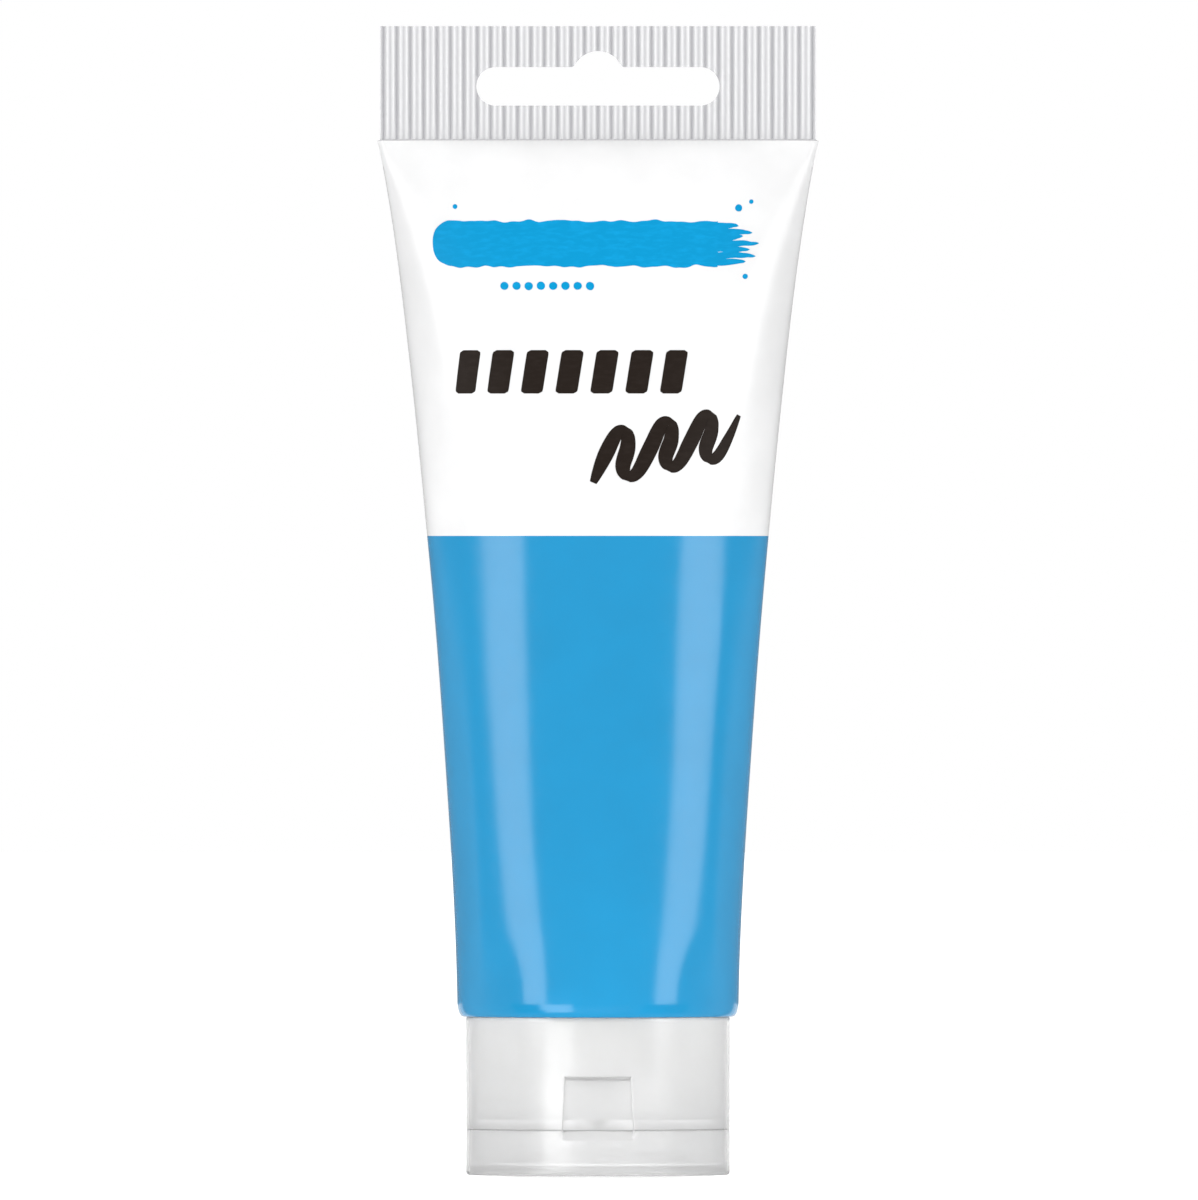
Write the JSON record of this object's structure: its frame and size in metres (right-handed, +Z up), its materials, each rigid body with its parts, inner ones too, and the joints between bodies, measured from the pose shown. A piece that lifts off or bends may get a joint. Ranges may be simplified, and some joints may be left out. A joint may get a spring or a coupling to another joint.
{
  "type": "paint tube with flip-top screw cap",
  "caption": "Soft plastic tube of artists' paint with a flat ribbed end seal and hanging slot, standing on a translucent flip-top screw cap.",
  "frame": {"origin": "middle of the lid's standing rim, on the surface that the tube stands on", "axes": "+Z up from the cap to the flat end seal, X along the width of the seal, Y through the tube; the thumb recess faces -Y and the lid's hinge is at +Y"},
  "size_m": [0.0548, 0.0348, 0.1431],
  "materials": {
    "sleeve_film": "satin printed polyethylene film",
    "seal_film": "satin white polyethylene film",
    "print_ink": "flat screen-printed ink",
    "neck_plastic": "natural moulded polyethylene",
    "foil": "heat-sealed foil",
    "paint": "wet paint",
    "cap_plastic": "translucent moulded polypropylene"
  },
  "bodies": {
    "tube": {"sleeve": "sleeve_film", "shoulder": "neck_plastic", "paint_fill": "paint"},
    "cap_turner": {"foil_seal": "foil"},
    "cap": {"cap_base": "cap_plastic", "hinge_film": "cap_plastic", "spring_strap_left": "cap_plastic", "spring_strap_right": "cap_plastic"},
    "lid": {"lid": "cap_plastic"}
  },
  "joints": [
    {"name": "cap_turn", "type": "hinge", "parent": "tube", "child": "cap_turner", "pos_m": [0, 0, 0], "axis": [0, 0, -1], "range_deg": [0, 541]},
    {"name": "cap_rise", "type": "slide", "parent": "cap_turner", "child": "cap", "axis": [0, 0, -1], "range_m": [0, 0.00375]},
    {"name": "lid_hinge", "type": "hinge", "parent": "cap", "child": "lid", "pos_m": [0, 0.01695, 0.0057], "axis": [1, 0, 0], "range_deg": [0, 160], "deforming": ["hinge_film", "spring_strap_left", "spring_strap_right"]}
  ],
  "couplings": [
    {"joint": "cap_turn", "follows": "cap_rise", "rad_per_m": 2513.3}
  ]
}
